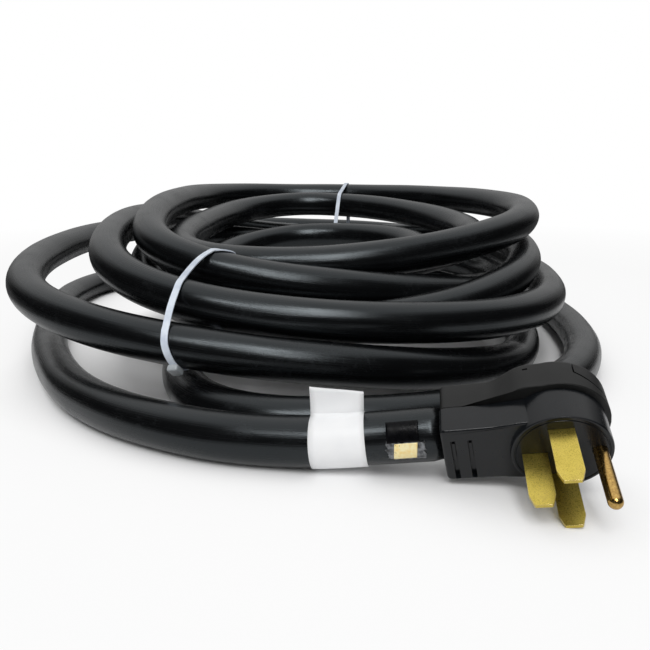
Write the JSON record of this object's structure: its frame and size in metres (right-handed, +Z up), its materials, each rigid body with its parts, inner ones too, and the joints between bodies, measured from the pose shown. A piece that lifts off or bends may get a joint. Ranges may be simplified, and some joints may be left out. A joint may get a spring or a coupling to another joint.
{
  "type": "shore power cord",
  "caption": "Heavy round power cord wound in a coil with two ties, with a right-angle moulded plug that has flat blades, a round ground pin and a paddle grip.",
  "frame": {"origin": "on the floor, midway under the box of the plug, which lies on the tip of its lower hot blade", "axes": "+Z up; +X along the plug's neck towards its round head, as the plug lies; +Y from the blades back towards the coil"},
  "size_m": [0.5941, 0.7596, 0.149],
  "materials": {
    "body_plastic": "glossy moulded black with a soft sheen",
    "grip_plastic": "fine matte moulded black",
    "pad_plastic": "darker matte moulded black",
    "carrier_plastic": "pale moulded insulator",
    "blade_brass": "mottled satin brass",
    "pin_brass": "darker drawn brass",
    "jacket": "satin black round jacket",
    "insulation_black": "smooth black insulation",
    "insulation_red": "smooth red insulation",
    "insulation_white": "smooth white insulation",
    "insulation_green": "smooth green insulation",
    "copper": "bare copper strands",
    "tie_nylon": "translucent bluish white nylon",
    "label_film": "white film",
    "sticker_film": "black film",
    "foil": "bright gold foil"
  },
  "bodies": {
    "root": {"plug_body": "body_plastic", "rear_grip": "grip_plastic", "grip_end_pad": "pad_plastic", "blade_carrier": "carrier_plastic", "hot_blade_upper": "blade_brass", "hot_blade_lower": "blade_brass", "neutral_blade": "blade_brass", "ground_pin": "pin_brass", "hot_lead_upper": "insulation_black", "hot_lead_lower": "insulation_red", "neutral_lead": "insulation_white", "ground_lead": "insulation_green", "cord_lead": "jacket", "cord_coil": "jacket", "front_tie_strap": "tie_nylon", "front_tie_head": "tie_nylon", "rear_tie_strap": "tie_nylon", "rear_tie_head": "tie_nylon", "wrap_label": "label_film", "sticker_base": "sticker_film", "foil_patch": "foil", "stripped_hot_black": "insulation_black", "stripped_hot_red": "insulation_red", "stripped_neutral_white": "insulation_white", "stripped_ground_green": "insulation_green", "copper_hot_black": "copper", "copper_hot_red": "copper", "copper_neutral": "copper", "copper_ground": "copper"}
  },
  "joints": []
}
